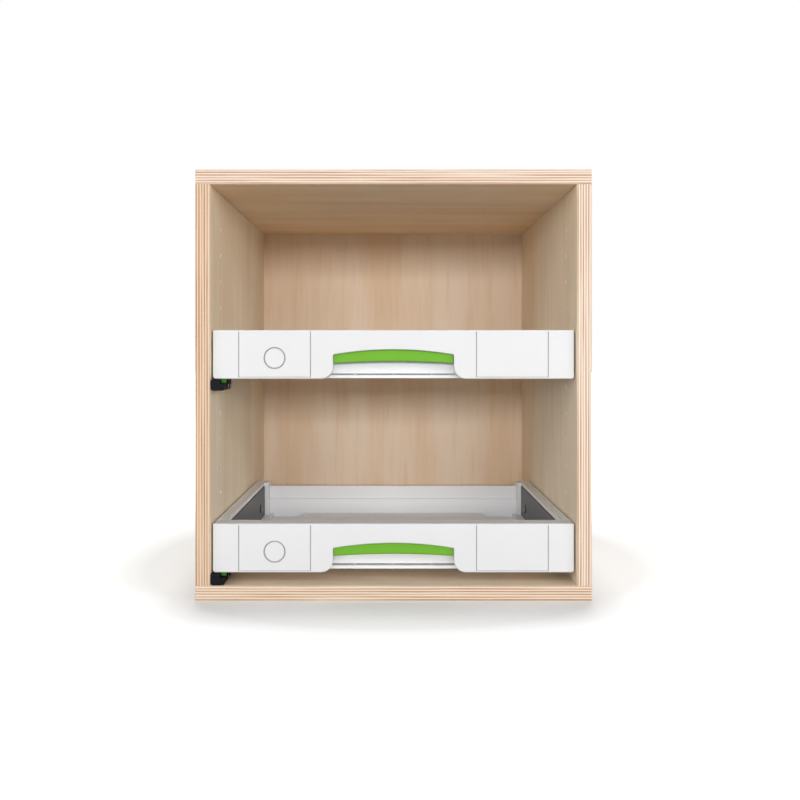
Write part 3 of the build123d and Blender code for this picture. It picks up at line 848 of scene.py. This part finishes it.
@dataclass
class Carcass:
    """Five boards of birch plywood, with the dowels and screws that hold them."""

    back_mm: float = 8.0
    back_plies: int = 5
    eased_mm: float = 0.5
    tones: dict[str, dict[str, str]] = field(default_factory=lambda: {
        # The left side panel's edge tones are darker than the right's: painted shade, for light that falls
        # from the right.
        "left_side_panel": {
            "light": "F6E8D0", "dark": "EFDBBF", "edge_light": "ECD1B5", "edge_dark": "8A5A3D",
        },
        "right_side_panel": {
            "light": "F6E8D0", "dark": "EFDBBF", "edge_light": "F6E5D4", "edge_dark": "AC8469",
        },
        "top_panel": {"light": "F8E0C0", "dark": "F0CFA9", "edge_light": "F3E1D0", "edge_dark": "9E7660"},
        "bottom_panel": {"light": "F5E2CA", "dark": "EDD3B6", "edge_light": "F5E3CD", "edge_dark": "A3704F"},
    })

    def boards(self) -> dict[str, BirchPlywood]:
        """Makes each board's finish. A board's plies start at its face with the lower coordinate.

        Returns:
            The boards' names and finishes.
        """
        made = {}
        for name, thickness, grain in (
            ("left_side_panel", Direction.X, Direction.Z),
            ("right_side_panel", Direction.X, Direction.Z),
            ("top_panel", Direction.Z, Direction.X),
            ("bottom_panel", Direction.Z, Direction.X),
            ("back_panel", Direction.Y, Direction.Z),
        ):
            lowest, highest = (tuple(float(value) for value in corner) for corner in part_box(name))
            settings: dict[str, Any] = {
                "thickness": thickness, "grain": grain, "lowest": lowest, "highest": highest,
            }
            if name == "back_panel":
                settings.update(board_mm=self.back_mm, plies=self.back_plies)
            made[name] = BirchPlywood(f"birch_{name}", "plywood", **settings, **self.tones.get(name, {}))
        return made

    def build(self) -> None:
        """Dresses the boards and their fasteners."""
        for name, finish in self.boards().items():
            stand_in(eased_copy(name, self.eased_mm), name, finish)
        dress("corner_dowels", BEECH)
        dress("back_screws", ZINC_SCREW)


@dataclass
class BallSlides:
    """The two ball slides of one drawer."""

    drawer: DrawerPlace

    def build(self) -> None:
        """Dresses the members, balls, cages and screws."""
        for side in ("left", "right"):
            for member in ("cabinet_rail", "middle_rail", "drawer_rail"):
                dress(self.drawer.node(f"{side}_{member}"), ZINC_STRIP)
        for lane in ("outer", "inner"):
            dress(self.drawer.node(f"{lane}_balls"), BRIGHT_STEEL)
            dress(self.drawer.node(f"{lane}_ball_cages"), NATURAL_NYLON)
        dress(self.drawer.node("rail_screws"), ZINC_SCREW)


@dataclass
class BlankingCap:
    """The plain round cap on the left field of a drawer front, slightly dished."""

    drawer: DrawerPlace
    disc_mm: float = 2.0
    border_mm: float = 2.4
    step_mm: float = 0.5
    dish_mm: float = 0.3
    rim_mm: float = 0.5
    stem_mm: float = 8.0

    def build(self) -> None:
        """A disc, dished in front, with a stem behind."""
        node = self.drawer.node("blanking_cap")
        low, high = (Vector(corner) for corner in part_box(node))
        radius = (high.x - low.x) / 2
        disc_rear = low.y + self.disc_mm * MM
        start_clean()
        bpy.ops.mesh.primitive_cylinder_add(
            vertices=72,
            radius=radius,
            depth=self.disc_mm * MM,
            location=((low.x + high.x) / 2, (low.y + disc_rear) / 2, (low.z + high.z) / 2),
            rotation=(math.pi / 2, 0, 0),
        )
        cap = settle(f"{node}_shape")
        bpy.ops.object.mode_set(mode="EDIT")
        pick(Element.FACES, lambda face: face.normal.y < -0.9)
        bpy.ops.mesh.inset(thickness=self.border_mm * MM)
        bpy.ops.mesh.inset(thickness=self.step_mm * MM)
        bpy.ops.transform.translate(value=(0, self.dish_mm * MM, 0))
        pick(
            Element.FACES, lambda face: face.normal.y > 0.9 and face.calc_center_median().y > disc_rear - NEAR
        )
        bpy.ops.mesh.inset(thickness=radius - self.stem_mm / 2 * MM)
        bpy.ops.mesh.extrude_region_move(TRANSFORM_OT_translate={"value": (0, high.y - disc_rear, 0)})
        bpy.ops.object.mode_set(mode="OBJECT")
        ease(cap, self.rim_mm)
        stand_in(cap, node, CAP_ABS)


@dataclass
class ReleaseLever:
    """The green lever behind the hand opening, arched like the opening above it."""

    drawer: DrawerPlace
    plate_mm: float = 2.5
    lip_mm: float = 2.1
    arch_mm: float = 2.4
    head_mm: float = 25.4
    web_mm: float = 5.0
    hub_mm: float = 8.0
    bore_mm: float = 4.1
    foot_round_mm: float = 2.0
    lip_round_mm: float = 0.7
    web_round_mm: float = 0.5
    web_above_rod_mm: float = 3.0
    web_in_plate_mm: float = 0.5
    web_in_hub_mm: float = 0.6
    web_shorter_mm: float = 0.4
    steps: int = 24

    def build(self) -> None:
        """The arched plate, the web behind its head and the hub, joined."""
        node = self.drawer.node("release_lever")
        low, high = (Vector(corner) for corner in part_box(node))
        rod = Vector((0.0, high.y - self.hub_mm / 2 * MM, high.z - self.hub_mm / 2 * MM))
        parts = [self.plate(low, high), self.web(low, high, rod), self.hub(high, rod)]
        start_clean()
        for part in parts:
            part.select_set(True)
        bpy.context.view_layer.objects.active = parts[0]
        bpy.ops.object.join()
        lever = bpy.context.active_object
        lever.name = f"{node}_shape"
        bpy.ops.object.shade_smooth_by_angle(angle=math.radians(30))
        stand_in(lever, node, GREEN_ABS)

    def plate(self, low: Vector, high: Vector) -> bpy.types.Object:
        """The plate: half of it is spun from its outline, cut to length and mirrored.

        Args:
            low: The node's lowest corner.
            high: The node's highest corner.

        Returns:
            The plate as a piece.
        """
        half = high.x
        arch = self.arch_mm * MM
        turn_radius = (half**2 + arch**2) / (2 * arch)
        foot = low.z + arch
        rear = low.y + self.plate_mm * MM
        flat_head = high.z - (self.hub_mm / 2 - self.web_above_rod_mm) * MM
        start_clean()
        bpy.ops.mesh.primitive_plane_add(
            size=1.0,
            location=(0, (low.y + rear) / 2, foot + self.head_mm / 2 * MM),
            rotation=(0, math.pi / 2, 0),
        )
        bpy.context.active_object.scale = (self.head_mm * MM, self.plate_mm * MM, 1.0)
        plate = settle("lever_plate")
        bpy.ops.object.mode_set(mode="EDIT")
        bpy.ops.mesh.select_all(action="SELECT")
        bpy.ops.mesh.bisect(plane_co=(0, 0, foot + self.lip_mm * MM), plane_no=(0, 0, 1))
        lip_top = foot + self.lip_mm * MM + NEAR
        pick(
            Element.EDGES,
            lambda edge: all(corner.co.y > rear - NEAR and corner.co.z < lip_top for corner in edge.verts),
        )
        bpy.ops.mesh.extrude_region_move(TRANSFORM_OT_translate={"value": (0, self.lip_mm * MM, 0)})
        pick(Element.CORNERS, lambda corner: corner.co.y < low.y + NEAR and corner.co.z < foot + NEAR)
        bpy.ops.mesh.bevel(offset=self.foot_round_mm * MM, segments=4, affect="VERTICES")
        pick(Element.CORNERS, lambda corner: corner.co.y > rear + NEAR)
        bpy.ops.mesh.bevel(offset=self.lip_round_mm * MM, segments=3, affect="VERTICES")
        bpy.ops.mesh.select_all(action="SELECT")
        # Spun a tenth too far, and then cut square.
        bpy.ops.mesh.spin(
            steps=self.steps,
            angle=math.asin(half / turn_radius) * 1.1,
            center=(0, 0, foot - turn_radius),
            axis=(0, 1, 0),
        )
        side = math.copysign(1.0, sum(corner.co.x for corner in bmesh.from_edit_mesh(plate.data).verts))
        pick(
            Element.FACES, lambda face: abs(face.calc_center_median().x) < NEAR and abs(face.normal.x) > 0.99
        )
        bpy.ops.mesh.delete(type="ONLY_FACE")
        bpy.ops.mesh.select_all(action="SELECT")
        bpy.ops.mesh.bisect(
            plane_co=(side * half, 0, 0), plane_no=(side, 0, 0), use_fill=True, clear_outer=True
        )
        bpy.ops.mesh.select_all(action="SELECT")
        bpy.ops.mesh.bisect(plane_co=(0, 0, flat_head), plane_no=(0, 0, 1), use_fill=True, clear_outer=True)
        bpy.ops.object.mode_set(mode="OBJECT")
        mirror = plate.modifiers.new("mirror", "MIRROR")
        mirror.merge_threshold = NEAR
        bpy.ops.object.modifier_apply(modifier="mirror")
        bpy.ops.object.mode_set(mode="EDIT")
        bpy.ops.mesh.select_all(action="SELECT")
        bpy.ops.mesh.remove_doubles(threshold=NEAR)
        turn_outwards()
        return plate

    def web(self, low: Vector, high: Vector, rod: Vector) -> bpy.types.Object:
        """The web between the plate's head and the hub.

        Args:
            low: The node's lowest corner.
            high: The node's highest corner.
            rod: The middle of the rod.

        Returns:
            The web as a piece.
        """
        rear = low.y + (self.plate_mm - self.web_in_plate_mm) * MM
        reach = rod.y - (self.hub_mm / 2 - self.web_in_hub_mm) * MM
        top = rod.z + self.web_above_rod_mm * MM
        start_clean()
        bpy.ops.mesh.primitive_cube_add(
            size=1.0, location=(0, (rear + reach) / 2, top - self.web_mm / 2 * MM)
        )
        bpy.context.active_object.scale = (
            2 * high.x - self.web_shorter_mm * MM, reach - rear, self.web_mm * MM,
        )
        web = settle("lever_web")
        bpy.ops.object.mode_set(mode="EDIT")
        pick(Element.EDGES, lambda edge: all(corner.co.z < rod.z for corner in edge.verts))
        bpy.ops.mesh.bevel(offset=self.web_round_mm * MM, segments=2, affect="EDGES")
        bpy.ops.object.mode_set(mode="OBJECT")
        return web

    def hub(self, high: Vector, rod: Vector) -> bpy.types.Object:
        """The tube round the rod.

        Args:
            high: The node's highest corner.
            rod: The middle of the rod.

        Returns:
            The hub as a piece.
        """
        start_clean()
        bpy.ops.mesh.primitive_cylinder_add(
            vertices=48,
            radius=self.hub_mm / 2 * MM,
            depth=2 * high.x,
            location=rod,
            rotation=(0, math.pi / 2, 0),
        )
        hub = settle("lever_hub")
        bpy.ops.object.mode_set(mode="EDIT")
        pick(Element.FACES, lambda face: abs(face.normal.x) > 0.9)
        bpy.ops.mesh.inset(thickness=(self.hub_mm - self.bore_mm) / 2 * MM)
        bpy.ops.mesh.delete(type="FACE")
        pick(Element.EDGES, lambda edge: edge.is_boundary)
        bpy.ops.mesh.bridge_edge_loops()
        turn_outwards()
        return hub


@dataclass
class LatchSpring:
    """The coil spring between the latch bolt's head and the front's top wall."""

    drawer: DrawerPlace
    wire_mm: float = 0.5
    turns: int = 5
    lift_mm: float = 1.58
    steps: int = 24
    sides: int = 12

    def build(self) -> None:
        """A round wire, wound up by a screw modifier."""
        node = self.drawer.node("latch_spring")
        low, high = (Vector(corner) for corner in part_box(node))
        wire = self.wire_mm * MM
        middle = (low + high) / 2
        start_clean()
        bpy.ops.mesh.primitive_circle_add(
            vertices=self.sides,
            radius=wire / 2,
            location=((high.x - low.x - wire) / 2, 0, 0),
            rotation=(math.pi / 2, 0, 0),
        )
        spring = settle(f"{node}_shape")
        winding = spring.modifiers.new("winding", "SCREW")
        winding.axis = "Z"
        winding.screw_offset = (high.z - low.z - wire) / self.turns
        winding.iterations = self.turns
        winding.steps = self.steps
        winding.render_steps = self.steps
        bpy.ops.object.modifier_apply(modifier="winding")
        bpy.ops.object.mode_set(mode="EDIT")
        pick(Element.EDGES, lambda edge: edge.is_boundary)
        bpy.ops.mesh.fill_holes(sides=self.sides)
        bpy.ops.mesh.select_all(action="SELECT")
        bpy.ops.transform.translate(value=(middle.x, middle.y, low.z + wire / 2))
        turn_outwards()
        bpy.ops.object.shade_smooth_by_angle(angle=math.radians(60))
        stand_in(spring, node, BRIGHT_STEEL)
        self.drawer.node("latch_lift")
        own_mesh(spring)


@dataclass
class Drawer:
    """One moulded drawer with its plates, lever, latch and catch."""

    drawer: DrawerPlace
    eased: dict[str, tuple[float, Finish]] = field(default_factory=lambda: {
        "tray": (0.25, WHITE_ABS),
        "front_cover": (0.3, FRONT_ABS),
        "side_clips": (0.4, BLACK_NYLON),
        # The latch bolt's darker green is painted shade.
        "latch_bolt": (0.4, SHADED_GREEN_NYLON),
        "catch_block": (0.7, BLACK_NYLON),
    })
    plain: dict[str, Finish] = field(default_factory=lambda: {
        "left_side_plate": DARK_PLATE,
        "right_side_plate": DARK_PLATE,
        "plate_screws": ZINC_SCREW,
        "cover_screws": ZINC_SCREW,
        "lever_rod": BRIGHT_STEEL,
        "release_crank": BLACK_NYLON,
        "catch_screws": ZINC_SCREW,
    })

    def build(self) -> None:
        """Models the pieces that show and dresses the rest."""
        for name, (width_mm, finish) in self.eased.items():
            node = self.drawer.node(name)
            stand_in(eased_copy(node, width_mm), node, finish)
        for name, finish in self.plain.items():
            dress(self.drawer.node(name), finish)
        BlankingCap(self.drawer).build()
        ReleaseLever(self.drawer).build()
        LatchSpring(self.drawer).build()
        BallSlides(self.drawer).build()


# Studio


@dataclass(frozen=True)
class SoftBox:
    """A rectangular soft lamp, in metres and watts. Shiny surfaces show it only if it is mirrored."""

    name: str
    at: Point
    power: float
    size: tuple[float, float] = (0.8, 0.8)
    aim: Point = (0.0, 0.0, 0.28)
    mirrored: bool = False

    def light(self) -> bpy.types.Light:
        """Makes the lamp's light.

        Returns:
            The light.
        """
        light = bpy.data.lights.new(self.name, "AREA")
        light.shape = "RECTANGLE"
        light.size, light.size_y = self.size
        return light

    def hang(self) -> None:
        """Hangs the lamp so that it looks at its aim."""
        light = self.light()
        light.energy = self.power
        lamp = bpy.data.objects.new(self.name, light)
        lamp.visible_glossy = self.mirrored
        lamp.location = self.at
        lamp.rotation_euler = (Vector(self.aim) - Vector(self.at)).to_track_quat("-Z", "Y").to_euler()
        bpy.context.scene.collection.objects.link(lamp)


@dataclass(frozen=True)
class Skylight(SoftBox):
    """A far lamp whose light is nearly parallel. Its power is the strength of a sun."""

    angle_deg: float = 12.0

    def light(self) -> bpy.types.Light:
        """Makes the lamp's light.

        Returns:
            The light.
        """
        light = bpy.data.lights.new(self.name, "SUN")
        light.angle = math.radians(self.angle_deg)
        return light


@dataclass
class Studio:
    """A pale floor and backdrop, soft lamps, and the camera of the photograph."""

    camera_x_mm: float = -2.5
    camera_y_mm: float = -1265.0
    camera_z_mm: float = 285.0
    focal_px: float = 904.4
    centre_px: tuple[float, float] = (391.3, 352.9)
    sensor_mm: float = 36.0
    camera_sees_m: float = 60.0
    floor_half_m: float = 12.0
    floor_seen: str = "F2F2F2"
    floor_bounce: str = "9A9A9A"
    lit_floor_m: tuple[float, float] = (0.33, 0.62)
    least_glow: float = 0.06
    ambient: float = 0.2
    lamps: tuple[SoftBox, ...] = (
        SoftBox("key", (0.0, -6.0, 1.08), 232.0, (7.4, 0.8)),
        SoftBox("left", (-1.8, -1.4, 0.95), 10.0),
        SoftBox("right", (1.7, -1.4, 0.7), 12.0),
        SoftBox("rear", (0.6, 3.2, 1.5), 26.0, (2.4, 1.0)),
        SoftBox("upper", (0.3, -2.2, 1.3), 4.0, (1.2, 0.5), aim=(0.0, -0.2, 0.1), mirrored=True),
        Skylight("overhead", (0.0, 0.151, 1.0), 1.3, aim=(0.0, 0.0, 0.0), mirrored=True),
    )

    def camera(self) -> None:
        """A level camera. The lens shift puts the vanishing point where the photograph has it."""
        data = bpy.data.cameras.new("camera")
        data.sensor_width = self.sensor_mm
        data.lens = self.focal_px / PHOTO_PX * self.sensor_mm
        data.shift_x = (PHOTO_PX / 2 - self.centre_px[0]) / PHOTO_PX
        data.shift_y = (self.centre_px[1] - PHOTO_PX / 2) / PHOTO_PX
        data.clip_end = self.camera_sees_m
        camera = bpy.data.objects.new("camera", data)
        camera.location = (self.camera_x_mm * MM, self.camera_y_mm * MM, self.camera_z_mm * MM)
        camera.rotation_euler = (math.pi / 2, 0.0, 0.0)
        bpy.context.scene.collection.objects.link(camera)
        bpy.context.scene.camera = camera

    def seen_directly(self, tree: bpy.types.NodeTree) -> Any:
        """1 where a camera, mirror or glass ray looks, 0 for light that bounces.

        Args:
            tree: The node tree.

        Returns:
            The value socket.
        """
        path = add_node(tree, "LightPath")
        kinds = ("Camera", "Glossy", "Transmission")
        camera, glossy, through = (path.outputs[f"Is {kind} Ray"] for kind in kinds)
        seen = add_node(tree, "Math", {0: camera, 1: glossy}, operation="MAXIMUM")
        return add_node(tree, "Math", {0: seen.outputs[0], 1: through}, operation="MAXIMUM").outputs[0]

    def world(self) -> None:
        """Even pale light, white where it is seen."""
        world = bpy.data.worlds.new("studio")
        world.use_nodes = True
        tree = world.node_tree
        tree.nodes.clear()
        strength = add_node(tree, "Mix", {0: self.seen_directly(tree), 2: self.ambient, 3: 1.0})
        background = add_node(
            tree, "Background", {"Color": (1.0, 1.0, 1.0, 1.0), "Strength": strength.outputs[0]}
        )
        add_node(tree, "OutputWorld", {"Surface": background.outputs[0]})
        bpy.context.scene.world = world

    def floor(self) -> None:
        """A wide white floor that keeps the unit's shadow."""
        start_clean()
        bpy.ops.mesh.primitive_plane_add(size=2 * self.floor_half_m, location=(0, 0, 0))
        floor = bpy.context.active_object
        floor.name = "studio_floor"
        material = bpy.data.materials.new("studio_floor")
        material.use_nodes = True
        tree = material.node_tree
        tree.nodes.clear()
        # The floor is white to look at, but throws back only as much light as a grey one.
        seen = self.seen_directly(tree)
        tones = {6: linear(self.floor_bounce), 7: linear(self.floor_seen)}
        white = add_node(tree, "Mix", {0: seen, **tones}, data_type="RGBA")
        paint = add_node(tree, "BsdfDiffuse", {"Color": white.outputs[2]})
        # Near the unit it shows the lamps' light and the shadow. Further out it turns plain white.
        where = add_node(tree, "TexCoord")
        away = add_node(tree, "VectorMath", {0: where.outputs["Object"]}, operation="LENGTH")
        ends = {"From Min": self.lit_floor_m[0], "From Max": self.lit_floor_m[1], "To Min": self.least_glow}
        far = add_node(tree, "MapRange", {"Value": away.outputs["Value"], **ends})
        strength = add_node(tree, "Math", {0: seen, 1: far.outputs[0]}, operation="MULTIPLY")
        glow = add_node(tree, "Emission", {"Strength": strength.outputs[0]})
        both = add_node(tree, "AddShader", {0: paint.outputs[0], 1: glow.outputs[0]})
        add_node(tree, "OutputMaterial", {"Surface": both.outputs[0]})
        floor.data.materials.append(material)

    def build(self) -> None:
        """Sets the view, the floor, the lamps and the camera."""
        bpy.context.scene.view_settings.view_transform = "Standard"
        self.camera()
        self.world()
        self.floor()
        for lamp in self.lamps:
            lamp.hang()


def main() -> None:
    """Builds the unit and the studio."""
    logging.basicConfig(level=logging.INFO, format="%(name)s: %(message)s")
    steps: list[tuple[str, Callable[[], None]]] = [
        ("studio", Studio().build),
        ("carcass", Carcass().build),
    ]
    steps += [(f"{place.value} drawer", Drawer(place).build) for place in DrawerPlace]
    for name, build in steps:
        log.info("building the %s", name)
        build()


if __name__ == "__main__":
    main()
